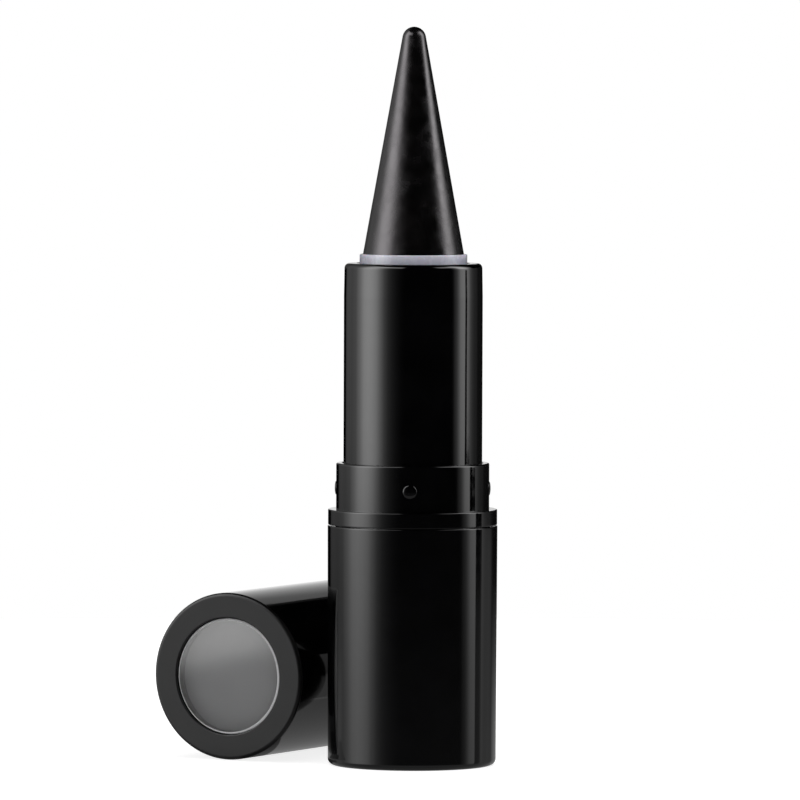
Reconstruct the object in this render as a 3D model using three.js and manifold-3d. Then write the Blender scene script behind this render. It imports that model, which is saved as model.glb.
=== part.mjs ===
// Twist-up kohl stick, standing open with its cap lying beside it.
// Millimetres, +Z up. The stick's axis is Z and the origin is the middle of the base's flat underside.
// The cap lies along Y, closed end towards -Y, on the surface that the stick stands on.
// Turning the cover tube turns the cam sleeve inside it; the cam's helical slots push the cup's two lugs
// along the straight slots of the guide fork, so the cup and the kohl rise and sink without turning.

import * as THREE from 'three';
import { mergeVertices } from 'three/addons/utils/BufferGeometryUtils.js';
import Module from 'manifold-3d';

const wasm = await Module();
wasm.setup();

// Kohl bullet
const BULLET_DIAMETER = 12.1;
const BULLET_CONE_LENGTH = 27.2;
const BULLET_TIP_RADIUS = 1.42;
const BULLET_STEM_CHAMFER = 0.4;

// Carrier cup
const CUP_WALL = 0.35;
const CUP_HEIGHT = 8.6;
const CUP_FLOOR = 0.8;
const CUP_VENT_DIAMETER = 2.4;
const CUP_EDGE_FILLET = 0.12;
const CUP_RISE = 1.06;
const LUG_DIAMETER = 1.8;
const LUG_CENTRE = 1.5;

// Twist mechanism
const TIP_COVER = 0.2;
const HELIX_LEAD = 20;
const HELIX_STARTS = 2;
const FORK_WALL = 0.45;
const FORK_FOOT_THICKNESS = 1.2;
const FORK_PLUG_LENGTH = 10;
const FORK_PLUG_WALL = 0.68;
const SPLINE_COUNT = 16;
const SPLINE_HEIGHT = 0.25;
const SPLINE_WIDTH = 0.9;
const CAM_WALL = 0.6;
const CAM_END_RING = 2.5;
const BRAKE_SECTION_DIAMETER = 0.8;

// Cover tube
const COVER_WALL = 0.48;
const COVER_LIP = 0.8;
const COVER_LIP_CLEARANCE = 0.3;
const COVER_TOP_FILLET = 0.75;
const COVER_BEAD_HEIGHT = 1.6;
const COVER_BEAD_STEP = 0.3;

// Collar
const COLLAR_WALL = 0.74;
const COLLAR_HEIGHT = 5.55;
const COLLAR_EDGE_FILLET = 0.2;
const SKIRT_WALL = 0.42;
const SKIRT_LENGTH = 8.9;
const SKIRT_CHAMFER = 0.25;
const FLANGE_THICKNESS = 1.85;
const FLANGE_EDGE_FILLET = 0.12;
const SNAP_BEAD_COUNT = 4;
const SNAP_BEAD_START_DEG = 25.7;
const SNAP_BEAD_DIAMETER = 1.65;
const SNAP_BEAD_HEIGHT = 0.16;
const SNAP_BEAD_ABOVE_FLANGE = 2.5;

// Base
const BASE_FLOOR = 1.2;
const BASE_REVEAL = 0.04;
const BASE_DRAFT = 0.1;
const BASE_FOOT_FILLET = 0.75;
const BASE_RIM_FILLET = 0.1;
const BASE_INNER_CHAMFER = 0.5;
const INSERT_HEIGHT = 18.55;
const INSERT_FLOOR = 1.2;
const INSERT_FLOOR_HOLE_DIAMETER = 9;
const INSERT_LEAD_IN = 0.4;

// Cap
const CAP_WALL = 0.45;
const CAP_LINER_WALL = 0.35;
const CAP_LINER_CLEARANCE = 0.11;
const CAP_LINER_SETBACK = 0.4;
const CAP_LINER_LEAD_IN = 0.2;
const SNAP_GROOVE_DEPTH = 0.12;
const CAP_HEADROOM = 0.6;
const CAP_END_WALL = 0.6;
const CAP_END_FILLET = 0.4;
const CAP_MOUTH_FILLET = 0.12;
const LENS_DIAMETER = 13.94;
const LENS_THICKNESS = 2.6;
const LENS_SINK = 0.12;
const LENS_CHAMFER = 0.15;
const SHADE_DISC_THICKNESS = 0.25;

// Where the cap lies: its distance from the base, and how far its end reaches forward of the stick's axis
const CAP_ASIDE = 1.4;
const CAP_FORWARD = 6.5;

// Clearances
const BULLET_GAP = 0.05;
const RUNNING_GAP = 0.12;
const SEAT_GAP = 0.1;
const SLOT_GAP = 0.2;

// Fineness of the round forms
const ROUND_STEPS = 40;
const HIDDEN_ROUND_STEPS = 32;
const SMALL_ROUND_STEPS = 12;
const ARC_STEP = 0.25;
const HELIX_STEPS_PER_TURN = 24;

// Radii, worked outwards from the bullet
const bulletRadius = BULLET_DIAMETER / 2;
const cupBore = bulletRadius + BULLET_GAP;
const cupRadius = cupBore + CUP_WALL;
const forkBore = cupRadius + RUNNING_GAP;
const forkRadius = forkBore + FORK_WALL;
const camBore = forkRadius + RUNNING_GAP;
const camRadius = camBore + CAM_WALL;
const coverBore = camRadius + SEAT_GAP;
const coverRadius = coverBore + COVER_WALL;
const coverBeadRadius = coverRadius + COVER_BEAD_STEP;
const collarBore = coverRadius + RUNNING_GAP;
const collarRadius = collarBore + COLLAR_WALL;
const skirtBore = coverBeadRadius + RUNNING_GAP;
const skirtRadius = skirtBore + SKIRT_WALL;
const linerBore = collarRadius + CAP_LINER_CLEARANCE;
const linerRadius = linerBore + CAP_LINER_WALL;
const capBore = linerRadius + SEAT_GAP / 2;
const caseRadius = capBore + CAP_WALL;
const baseTopRadius = caseRadius + BASE_REVEAL;
const baseFootRadius = baseTopRadius - BASE_DRAFT;
const baseBore = skirtRadius + SEAT_GAP;
const insertRadius = baseBore - SEAT_GAP;
const plugRadius = forkBore + FORK_PLUG_WALL;
const splineRadius = plugRadius + SPLINE_HEIGHT;
const insertBore = splineRadius + SEAT_GAP;
const lugRadius = LUG_DIAMETER / 2;
const brakeRadius = BRAKE_SECTION_DIAMETER / 2;

// Heights, worked upwards from the underside of the base
const travel = CUP_RISE + BULLET_CONE_LENGTH + TIP_COVER;
const insertBottom = BASE_FLOOR + SEAT_GAP;
const insertTop = insertBottom + INSERT_HEIGHT;
const footBottom = insertTop + SEAT_GAP;
const footTop = footBottom + FORK_FOOT_THICKNESS;
const brakeCentre = footTop + SEAT_GAP / 2 + brakeRadius;
const camBottom = brakeCentre + brakeRadius + SEAT_GAP;
const lowestLug = camBottom + CAM_END_RING + lugRadius + SLOT_GAP;
const highestLug = lowestLug + travel;
const cupBottom = highestLug - LUG_CENTRE;
const cupTop = cupBottom + CUP_HEIGHT;
const coverTop = cupTop - CUP_RISE;
const camTop = coverTop - COVER_LIP - SEAT_GAP;
const forkTop = coverTop - COVER_LIP - RUNNING_GAP;
const throatBottom = camBottom + COVER_BEAD_HEIGHT + RUNNING_GAP;
const skirtBottom = footBottom;
const flangeBottom = skirtBottom + SKIRT_LENGTH;
const flangeTop = flangeBottom + FLANGE_THICKNESS;
const collarTop = flangeTop + COLLAR_HEIGHT;
const baseTop = flangeBottom - SEAT_GAP;
const snapBeadHeight = flangeTop + SNAP_BEAD_ABOVE_FLANGE;

// Lengths of the cap, from its mouth to its closed end
const capDepth = coverTop - flangeTop + CAP_HEADROOM;
const recessBottom = capDepth + CAP_END_WALL;
const discTop = recessBottom + SEAT_GAP / 2 + SHADE_DISC_THICKNESS;
const lensBottom = discTop + SEAT_GAP / 2;
const lensTop = lensBottom + LENS_THICKNESS;
const capLength = lensTop + LENS_SINK;

// Finishes
const glossBlack = new THREE.MeshStandardMaterial({ color: 0x0b0b0c, roughness: 0.12, metalness: 0 });
const kohlBlack = new THREE.MeshStandardMaterial({ color: 0x121113, roughness: 0.38, metalness: 0 });
const palePlastic = new THREE.MeshStandardMaterial({ color: 0xb9b7c0, roughness: 0.45, metalness: 0 });
const whitePlastic = new THREE.MeshStandardMaterial({ color: 0xd8d8d4, roughness: 0.5, metalness: 0 });
const blackPlastic = new THREE.MeshStandardMaterial({ color: 0x17171a, roughness: 0.5, metalness: 0 });
const brakeRubber = new THREE.MeshStandardMaterial({ color: 0x2a2a2c, roughness: 0.8, metalness: 0 });
const clearLens = new THREE.MeshStandardMaterial({
  color: 0xe6e8ea,
  roughness: 0.05,
  metalness: 0,
  transparent: true,
  opacity: 0.35,
});
const shadeGrey = new THREE.MeshStandardMaterial({ color: 0x6f6f70, roughness: 0.4, metalness: 0.3 });

// Profiles and revolved forms

// The number of straight steps that an arc is drawn with.
function arcSteps(radius, sweep) {
  return Math.max(2, Math.ceil((radius * Math.abs(sweep)) / ARC_STEP));
}

// A corner of a profile at radius r and height z, rounded by an arc of the given fillet.
function corner(r, z, fillet = 0) {
  return { point: new THREE.Vector2(r, z), fillet };
}

// The points of a profile whose filleted corners are tangent arcs. A closed profile goes round to its start.
function profilePoints(corners, closed) {
  const points = [];
  corners.forEach(({ point, fillet }, i) => {
    if (fillet === 0) {
      points.push(point);
      return;
    }
    const before = corners[(i + corners.length - 1) % corners.length].point;
    const after = corners[(i + 1) % corners.length].point;
    const back = before.clone().sub(point).normalize();
    const ahead = after.clone().sub(point).normalize();
    const halfAngle = Math.acos(THREE.MathUtils.clamp(back.dot(ahead), -1, 1)) / 2;
    const inward = back.clone().add(ahead).normalize();
    const centre = inward.multiplyScalar(fillet / Math.sin(halfAngle)).add(point);
    const start = back.multiplyScalar(fillet / Math.tan(halfAngle)).add(point).sub(centre);
    const end = ahead.multiplyScalar(fillet / Math.tan(halfAngle)).add(point).sub(centre);
    const sweep = Math.atan2(start.cross(end), start.dot(end));
    const steps = arcSteps(fillet, sweep);
    for (let step = 0; step <= steps; step++) {
      const turn = start.clone().rotateAround(new THREE.Vector2(), (sweep * step) / steps);
      points.push(turn.add(centre));
    }
  });
  if (closed) points.push(points[0].clone());
  return points;
}

// A profile turned about Z. Profiles run with the material on their left, so the faces point out.
function turned(points, steps) {
  return new THREE.LatheGeometry(points, steps).rotateX(Math.PI / 2);
}

// A solid whose profile starts and ends on the axis.
function turnedSolid(corners, steps = ROUND_STEPS) {
  return turned(profilePoints(corners, false), steps);
}

// A ring or tube whose profile closes on itself.
function turnedRing(corners, steps = ROUND_STEPS) {
  return turned(profilePoints(corners, true), steps);
}

// Joining and cutting

// A closed geometry as a solid that can be joined and cut.
function solid(geometry) {
  const bare = geometry.clone();
  bare.deleteAttribute('normal');
  bare.deleteAttribute('uv');
  const merged = mergeVertices(bare);
  return new wasm.Manifold(
    new wasm.Mesh({
      numProp: 3,
      vertProperties: merged.attributes.position.array,
      triVerts: new Uint32Array(merged.index.array),
    }),
  );
}

// A joined or cut solid as a geometry with flat-shaded normals.
function geometryOf(made) {
  const mesh = made.getMesh();
  const geometry = new THREE.BufferGeometry();
  geometry.setAttribute('position', new THREE.BufferAttribute(mesh.vertProperties, 3));
  geometry.setIndex(new THREE.BufferAttribute(mesh.triVerts, 1));
  const flat = geometry.toNonIndexed();
  flat.computeVertexNormals();
  return flat;
}

// The angles of a pattern evenly spaced about Z.
function anglesAbout(count, start = 0) {
  return Array.from({ length: count }, (_, i) => start + (2 * Math.PI * i) / count);
}

// Kohl bullet: a stem in the cup, then a cone tangent to the round tip

function kohlBullet() {
  const stemBottom = cupBottom + CUP_FLOOR + SEAT_GAP / 2;
  const tipCentre = cupTop + BULLET_CONE_LENGTH - BULLET_TIP_RADIUS;
  const toRim = new THREE.Vector2(bulletRadius, cupTop - tipCentre);
  const rimAngle = Math.atan2(toRim.y, toRim.x);
  const tangentAngle = rimAngle + Math.acos(BULLET_TIP_RADIUS / toRim.length());
  const tipSteps = arcSteps(BULLET_TIP_RADIUS, Math.PI / 2 - tangentAngle);
  const tip = [];
  for (let step = 0; step < tipSteps; step++) {
    const angle = THREE.MathUtils.lerp(tangentAngle, Math.PI / 2, step / tipSteps);
    tip.push(corner(BULLET_TIP_RADIUS * Math.cos(angle), tipCentre + BULLET_TIP_RADIUS * Math.sin(angle)));
  }
  return turnedSolid([
    corner(0, stemBottom),
    corner(bulletRadius - BULLET_STEM_CHAMFER, stemBottom),
    corner(bulletRadius, stemBottom + BULLET_STEM_CHAMFER),
    corner(bulletRadius, cupTop),
    ...tip,
    corner(0, tipCentre + BULLET_TIP_RADIUS),
  ]);
}

// Carrier cup: an open cup with a vent in its floor and two lugs that reach through the fork into the cam

function carrierCup() {
  const ventRadius = CUP_VENT_DIAMETER / 2;
  const floorTop = cupBottom + CUP_FLOOR;
  const cup = turnedRing([
    corner(ventRadius, cupBottom),
    corner(cupRadius, cupBottom, CUP_EDGE_FILLET),
    corner(cupRadius, cupTop, CUP_EDGE_FILLET),
    corner(cupBore, cupTop),
    corner(cupBore, floorTop),
    corner(ventRadius, floorTop),
  ]);
  const lugStart = cupRadius - CUP_WALL / 2;
  const lugEnd = camRadius - SEAT_GAP / 2;
  const lug = new THREE.CylinderGeometry(lugRadius, lugRadius, lugEnd - lugStart, SMALL_ROUND_STEPS);
  lug.rotateZ(Math.PI / 2).translate((lugStart + lugEnd) / 2, 0, highestLug);
  let made = solid(cup);
  for (const angle of anglesAbout(HELIX_STARTS)) made = made.add(solid(lug.clone().rotateZ(angle)));
  return geometryOf(made);
}

// Guide fork: a thin tube with two straight slots, a foot that carries the brake ring, and a splined plug

function forkSlotCutter() {
  const halfWidth = lugRadius + SLOT_GAP / 2;
  const low = lowestLug;
  const high = highestLug;
  const outline = new THREE.Shape();
  outline.absarc(0, high, halfWidth, 0, Math.PI, false);
  outline.absarc(0, low, halfWidth, Math.PI, 2 * Math.PI, false);
  outline.closePath();
  const reach = forkRadius + RUNNING_GAP;
  const cutter = new THREE.ExtrudeGeometry(outline, {
    depth: reach,
    bevelEnabled: false,
    curveSegments: SMALL_ROUND_STEPS / 4,
  });
  return cutter.rotateX(Math.PI / 2).rotateZ(Math.PI / 2);
}

function forkSpline() {
  const overlap = FORK_PLUG_WALL / 2;
  const outline = new THREE.Shape();
  outline.moveTo(plugRadius - overlap, -SPLINE_WIDTH / 2);
  outline.lineTo(plugRadius, -SPLINE_WIDTH / 2);
  outline.lineTo(splineRadius, 0);
  outline.lineTo(plugRadius, SPLINE_WIDTH / 2);
  outline.lineTo(plugRadius - overlap, SPLINE_WIDTH / 2);
  outline.closePath();
  const length = FORK_PLUG_LENGTH - SPLINE_HEIGHT;
  const spline = new THREE.ExtrudeGeometry(outline, { depth: length, bevelEnabled: false });
  return spline.translate(0, 0, footBottom - length);
}

function guideFork() {
  const plugBottom = footBottom - FORK_PLUG_LENGTH;
  const tube = turnedRing(
    [
      corner(forkBore, plugBottom),
      corner(plugRadius, plugBottom),
      corner(plugRadius, footBottom),
      corner(coverRadius, footBottom),
      corner(coverRadius, footTop),
      corner(forkRadius, footTop),
      corner(forkRadius, forkTop),
      corner(forkBore, forkTop),
    ],
    HIDDEN_ROUND_STEPS,
  );
  let made = solid(tube);
  for (const angle of anglesAbout(SPLINE_COUNT)) made = made.add(solid(forkSpline().rotateZ(angle)));
  for (const angle of anglesAbout(HELIX_STARTS)) made = made.subtract(solid(forkSlotCutter().rotateZ(angle)));
  return geometryOf(made);
}

// Cam sleeve: a tube with a right-hand helical slot for each lug, cut by a round tool that follows the helix

class Helix extends THREE.Curve {
  constructor(radius, lead, bottom, top, angleAtTop) {
    super();
    Object.assign(this, { radius, lead, bottom, top, angleAtTop });
  }

  getPoint(t, target = new THREE.Vector3()) {
    const z = THREE.MathUtils.lerp(this.bottom, this.top, t);
    const angle = this.angleAtTop + ((z - this.top) / this.lead) * 2 * Math.PI;
    return target.set(this.radius * Math.cos(angle), this.radius * Math.sin(angle), z);
  }
}

function camSlotCutter() {
  const toolRadius = lugRadius + SLOT_GAP;
  const circumference = 2 * Math.PI * (camBore + camRadius) / 2;
  const climb = HELIX_LEAD / Math.hypot(HELIX_LEAD, circumference);
  const runOut = toolRadius * climb;
  const overrun = (2 * Math.PI * runOut) / HELIX_LEAD;
  const bottom = lowestLug - runOut;
  const top = highestLug + runOut;
  const path = new Helix((camBore + camRadius) / 2, HELIX_LEAD, bottom, top, overrun);
  const tool = new THREE.Shape();
  tool.absarc(0, 0, toolRadius, 0, 2 * Math.PI, false);
  return new THREE.ExtrudeGeometry(tool, {
    steps: Math.ceil((HELIX_STEPS_PER_TURN * (travel + 2 * runOut)) / HELIX_LEAD),
    curveSegments: SMALL_ROUND_STEPS / 2,
    extrudePath: path,
  });
}

function camSleeve() {
  const tube = turnedRing(
    [
      corner(camBore, camBottom),
      corner(camRadius, camBottom),
      corner(camRadius, camTop),
      corner(camBore, camTop),
    ],
    HIDDEN_ROUND_STEPS,
  );
  const cutter = camSlotCutter();
  let made = solid(tube);
  for (const angle of anglesAbout(HELIX_STARTS)) made = made.subtract(solid(cutter.clone().rotateZ(angle)));
  return geometryOf(made);
}

// Brake ring: a soft ring squeezed between the fork's foot and the cam's lower end

function brakeRing() {
  const centreRadius = forkRadius + SEAT_GAP + brakeRadius;
  const section = [];
  for (const angle of anglesAbout(SMALL_ROUND_STEPS)) {
    const out = brakeRadius * Math.cos(angle);
    const up = brakeRadius * Math.sin(angle);
    section.push(corner(centreRadius + out, brakeCentre + up));
  }
  return turnedRing(section, HIDDEN_ROUND_STEPS);
}

// Cover tube: a lip turned in over the mechanism, and a bead below that the collar's throat holds down

function coverTube() {
  const lipBore = cupRadius + COVER_LIP_CLEARANCE;
  const beadTop = camBottom + COVER_BEAD_HEIGHT;
  return turnedRing([
    corner(coverBore, camBottom),
    corner(coverRadius, camBottom),
    corner(coverBeadRadius, camBottom + COVER_BEAD_STEP),
    corner(coverBeadRadius, beadTop),
    corner(coverRadius, beadTop),
    corner(coverRadius, coverTop, COVER_TOP_FILLET),
    corner(lipBore, coverTop),
    corner(lipBore, coverTop - COVER_LIP),
    corner(coverBore, coverTop - COVER_LIP),
  ]);
}

// Collar: a skirt in the base, a flange for the cap's mouth, and a barrel with snap beads

function snapBead() {
  const half = SNAP_BEAD_DIAMETER / 2;
  const domeRadius = (half * half + SNAP_BEAD_HEIGHT * SNAP_BEAD_HEIGHT) / (2 * SNAP_BEAD_HEIGHT);
  const halfAngle = Math.asin(half / domeRadius);
  const root = COLLAR_WALL / 2;
  const steps = arcSteps(domeRadius, halfAngle);
  const dome = [];
  for (let step = 0; step < steps; step++) {
    const angle = halfAngle * (1 - step / steps);
    dome.push(corner(domeRadius * Math.sin(angle), SNAP_BEAD_HEIGHT - domeRadius * (1 - Math.cos(angle))));
  }
  const bead = turnedSolid(
    [corner(0, -root), corner(half, -root), ...dome, corner(0, SNAP_BEAD_HEIGHT)],
    SMALL_ROUND_STEPS,
  );
  return bead.rotateY(Math.PI / 2).translate(collarRadius, 0, snapBeadHeight);
}

function collar() {
  const body = turnedRing([
    corner(skirtBore, skirtBottom),
    corner(skirtRadius - SKIRT_CHAMFER, skirtBottom),
    corner(skirtRadius, skirtBottom + SKIRT_CHAMFER),
    corner(skirtRadius, flangeBottom),
    corner(caseRadius, flangeBottom, FLANGE_EDGE_FILLET),
    corner(caseRadius, flangeTop, FLANGE_EDGE_FILLET),
    corner(collarRadius, flangeTop),
    corner(collarRadius, collarTop, COLLAR_EDGE_FILLET),
    corner(collarBore, collarTop),
    corner(collarBore, throatBottom),
    corner(skirtBore, throatBottom),
  ]);
  let made = solid(body);
  const start = THREE.MathUtils.degToRad(SNAP_BEAD_START_DEG);
  for (const angle of anglesAbout(SNAP_BEAD_COUNT, start)) made = made.add(solid(snapBead().rotateZ(angle)));
  return geometryOf(made);
}

// Base: a drafted outer shell, and the insert that grips the fork's plug

function baseShell() {
  return turnedSolid([
    corner(0, 0),
    corner(baseFootRadius, 0, BASE_FOOT_FILLET),
    corner(baseTopRadius, baseTop, BASE_RIM_FILLET),
    corner(baseBore, baseTop),
    corner(baseBore, BASE_FLOOR + BASE_INNER_CHAMFER),
    corner(baseBore - BASE_INNER_CHAMFER, BASE_FLOOR),
    corner(0, BASE_FLOOR),
  ]);
}

function baseInsert() {
  const holeRadius = INSERT_FLOOR_HOLE_DIAMETER / 2;
  const floorTop = insertBottom + INSERT_FLOOR;
  return turnedRing(
    [
      corner(holeRadius, insertBottom),
      corner(insertRadius - BASE_INNER_CHAMFER, insertBottom),
      corner(insertRadius, insertBottom + BASE_INNER_CHAMFER),
      corner(insertRadius, insertTop),
      corner(insertBore + INSERT_LEAD_IN, insertTop),
      corner(insertBore, insertTop - INSERT_LEAD_IN),
      corner(insertBore, floorTop),
      corner(holeRadius, floorTop),
    ],
    HIDDEN_ROUND_STEPS,
  );
}

// Cap: a shell with a recessed end, its liner, and the disc and lens in the recess. Its mouth is at z = 0.

function capShell() {
  const recessRadius = LENS_DIAMETER / 2 + SEAT_GAP;
  return turnedSolid([
    corner(0, capDepth),
    corner(capBore, capDepth),
    corner(capBore, 0),
    corner(caseRadius, 0, CAP_MOUTH_FILLET),
    corner(caseRadius, capLength, CAP_END_FILLET),
    corner(recessRadius, capLength, CAP_MOUTH_FILLET),
    corner(recessRadius, recessBottom),
    corner(0, recessBottom),
  ]);
}

function capLiner() {
  const grooveHalf = SNAP_BEAD_DIAMETER / 2;
  const grooveRadius = linerBore + SNAP_GROOVE_DEPTH;
  const grooveMiddle = SNAP_BEAD_ABOVE_FLANGE;
  const linerTop = capDepth - SEAT_GAP;
  return turnedRing([
    corner(linerBore, linerTop),
    corner(linerBore, grooveMiddle + grooveHalf),
    corner(grooveRadius, grooveMiddle + grooveHalf / 2),
    corner(grooveRadius, grooveMiddle - grooveHalf / 2),
    corner(linerBore, grooveMiddle - grooveHalf),
    corner(linerBore, CAP_LINER_SETBACK + CAP_LINER_LEAD_IN),
    corner(linerBore + CAP_LINER_LEAD_IN, CAP_LINER_SETBACK),
    corner(linerRadius, CAP_LINER_SETBACK),
    corner(linerRadius, linerTop),
  ]);
}

function shadeDisc() {
  const radius = LENS_DIAMETER / 2;
  return turnedSolid([
    corner(0, discTop - SHADE_DISC_THICKNESS),
    corner(radius, discTop - SHADE_DISC_THICKNESS),
    corner(radius, discTop),
    corner(0, discTop),
  ]);
}

function windowLens() {
  const radius = LENS_DIAMETER / 2;
  return turnedSolid([
    corner(0, lensBottom),
    corner(radius, lensBottom),
    corner(radius, lensTop - LENS_CHAMFER),
    corner(radius - LENS_CHAMFER, lensTop),
    corner(0, lensTop),
  ]);
}

// Assembly

function piece(name, geometry, material) {
  const mesh = new THREE.Mesh(geometry, material);
  mesh.name = name;
  return mesh;
}

const base = new THREE.Group();
base.add(
  piece('base_shell', baseShell(), glossBlack),
  piece('base_insert', baseInsert(), blackPlastic),
  piece('collar', collar(), glossBlack),
  piece('guide_fork', guideFork(), whitePlastic),
  piece('brake_ring', brakeRing(), brakeRubber),
);

const sleeve = new THREE.Group();
sleeve.add(piece('cover_tube', coverTube(), glossBlack), piece('cam_sleeve', camSleeve(), whitePlastic));

const carrier = new THREE.Group();
carrier.add(piece('carrier_cup', carrierCup(), palePlastic), piece('kohl_bullet', kohlBullet(), kohlBlack));

const cap = new THREE.Group();
cap.add(
  piece('cap_shell', capShell(), glossBlack),
  piece('cap_liner', capLiner(), blackPlastic),
  piece('shade_disc', shadeDisc(), shadeGrey),
  piece('window_lens', windowLens(), clearLens),
);
cap.rotation.x = Math.PI / 2;
cap.position.set(-(baseTopRadius + CAP_ASIDE + caseRadius), capLength - CAP_FORWARD, caseRadius);

const kohlStick = new THREE.Group();
kohlStick.name = 'kohl_stick';
kohlStick.add(base, sleeve, carrier, cap);

export default kohlStick;
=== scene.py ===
import math

import bmesh
import bpy
from mathutils import Matrix, Vector


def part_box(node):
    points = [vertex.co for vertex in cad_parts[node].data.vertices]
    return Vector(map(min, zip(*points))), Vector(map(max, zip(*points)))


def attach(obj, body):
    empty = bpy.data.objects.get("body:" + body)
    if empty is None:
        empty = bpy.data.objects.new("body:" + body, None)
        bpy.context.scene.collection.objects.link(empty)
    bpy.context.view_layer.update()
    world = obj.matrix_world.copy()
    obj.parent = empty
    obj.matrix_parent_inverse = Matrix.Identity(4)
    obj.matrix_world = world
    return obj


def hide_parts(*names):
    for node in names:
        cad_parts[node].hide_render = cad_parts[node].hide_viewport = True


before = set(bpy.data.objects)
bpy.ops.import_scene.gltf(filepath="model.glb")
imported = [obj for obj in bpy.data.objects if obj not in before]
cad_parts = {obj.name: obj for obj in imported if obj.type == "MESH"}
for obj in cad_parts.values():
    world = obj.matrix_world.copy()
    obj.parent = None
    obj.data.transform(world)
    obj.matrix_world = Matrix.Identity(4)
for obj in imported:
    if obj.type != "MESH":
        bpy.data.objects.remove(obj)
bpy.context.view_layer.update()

# Base shell
# The outer base is a polished black moulding, drafted a little towards the foot, with a rounded foot edge.
# It is moulded in one piece with its floor, and the collar's skirt is pressed into its open top.

# The sizes of pieces are in millimetres. Meshes, the height of a relief and the stage are in metres.
MM = 0.001
_, base_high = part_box("base_shell")
base_rim = base_high.x / MM
base_top = base_high.z / MM
base_draft = 0.1
base_wall = 0.92
base_floor = 1.2
base_corner = 0.5
base_foot_round = 0.75
base_bore = base_rim - base_wall
fine_round = 0.08

FILLET_STEPS = 8
LONG_RUN = 0.5
EDGE_HOLD = 0.08


def rounded_profile(corners, closed):
    """The points (r, z) in mm of a profile whose corners (r, z, fillet) are rounded by tangent arcs.

    A long straight run gets a point close to each end, which keeps its shading flat up to the edge.
    """
    points = []
    for i, (r, z, fillet) in enumerate(corners):
        here = Vector((r, z))
        if not fillet:
            points.append(here)
            continue
        back = (Vector(corners[i - 1][:2]) - here).normalized()
        ahead = (Vector(corners[(i + 1) % len(corners)][:2]) - here).normalized()
        half = back.angle(ahead) / 2
        centre = here + (back + ahead).normalized() * fillet / math.sin(half)
        start = here + back * fillet / math.tan(half) - centre
        end = here + ahead * fillet / math.tan(half) - centre
        sweep = math.atan2(start.x * end.y - start.y * end.x, start.dot(end))
        for step in range(FILLET_STEPS + 1):
            turn = Matrix.Rotation(sweep * step / FILLET_STEPS, 2)
            points.append(centre + turn @ start)
    if closed:
        points.append(points[0])
    held = [points[0]]
    for before, after in zip(points, points[1:]):
        run = after - before
        if run.length > LONG_RUN:
            held += [before + run.normalized() * EDGE_HOLD, after - run.normalized() * EDGE_HOLD]
        held.append(after)
    return held[:-1] if closed else held


def new_tree(name, inputs):
    """An empty geometry tree with a geometry in and out and the named inputs."""
    tree = bpy.data.node_groups.new(name, "GeometryNodeTree")
    tree.interface.new_socket("Geometry", in_out="INPUT", socket_type="NodeSocketGeometry")
    for label, kind in inputs:
        tree.interface.new_socket(label, in_out="INPUT", socket_type=kind)
    tree.interface.new_socket("Geometry", in_out="OUTPUT", socket_type="NodeSocketGeometry")
    return tree


def wire(tree, links):
    """Links the nodes of a tree, each link given as (node, output, node, input)."""
    for giver, output, taker, entry in links:
        tree.links.new(giver.outputs[output], taker.inputs[entry])


def run_tree(obj, tree, values):
    """Gives the object the tree with its inputs set, and leaves the result as a plain mesh."""
    modifier = obj.modifiers.new(tree.name, "NODES")
    modifier.node_group = tree
    for socket in tree.interface.items_tree:
        if socket.item_type == "SOCKET" and socket.in_out == "INPUT" and socket.name in values:
            modifier[socket.identifier] = values[socket.name]
    bpy.context.view_layer.update()
    made = bpy.data.meshes.new_from_object(obj.evaluated_get(bpy.context.evaluated_depsgraph_get()))
    obj.modifiers.remove(modifier)
    obj.data = made


ROUND_STEPS = 160
TURNING_CORE = 0.01
MERGE_DISTANCE = 1e-7
turning = new_tree("turned_piece", [
    ("Steps", "NodeSocketInt"),
    ("Core", "NodeSocketFloat"),
    ("Finish", "NodeSocketMaterial"),
])
turning_in = turning.nodes.new("NodeGroupInput")
turning_out = turning.nodes.new("NodeGroupOutput")
turning_profile = turning.nodes.new("GeometryNodeMeshToCurve")
turning_ring = turning.nodes.new("GeometryNodeCurvePrimitiveCircle")
turning_sweep = turning.nodes.new("GeometryNodeCurveToMesh")
turning_poles = turning.nodes.new("GeometryNodeMergeByDistance")
turning_real = turning.nodes.new("GeometryNodeRealizeInstances")
turning_finish = turning.nodes.new("GeometryNodeSetMaterial")
turning_poles.inputs["Distance"].default_value = MERGE_DISTANCE
wire(turning, [
    (turning_in, "Geometry", turning_profile, "Mesh"),
    (turning_in, "Steps", turning_ring, "Resolution"),
    (turning_in, "Core", turning_ring, "Radius"),
    (turning_ring, "Curve", turning_sweep, "Curve"),
    (turning_profile, "Curve", turning_sweep, "Profile Curve"),
    (turning_sweep, "Mesh", turning_poles, "Geometry"),
    (turning_poles, "Geometry", turning_real, "Geometry"),
    (turning_real, "Geometry", turning_finish, "Geometry"),
    (turning_in, "Finish", turning_finish, "Material"),
    (turning_finish, "Geometry", turning_out, "Geometry"),
])


SHARP_EDGE = math.radians(32)


def finished(obj, place):
    """Merges doubles, points the faces out, shades smooth with the real edges sharp, and puts in place."""
    shape = bmesh.new()
    shape.from_mesh(obj.data)
    bmesh.ops.remove_doubles(shape, verts=shape.verts, dist=MERGE_DISTANCE)
    bmesh.ops.recalc_face_normals(shape, faces=shape.faces)
    if shape.calc_volume(signed=True) < 0:
        bmesh.ops.reverse_faces(shape, faces=shape.faces)
    for face in shape.faces:
        face.smooth = True
    shape.to_mesh(obj.data)
    shape.free()
    obj.data.set_sharp_from_angle(angle=SHARP_EDGE)
    obj.data.transform(place)
    obj.data.update()
    return obj


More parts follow.
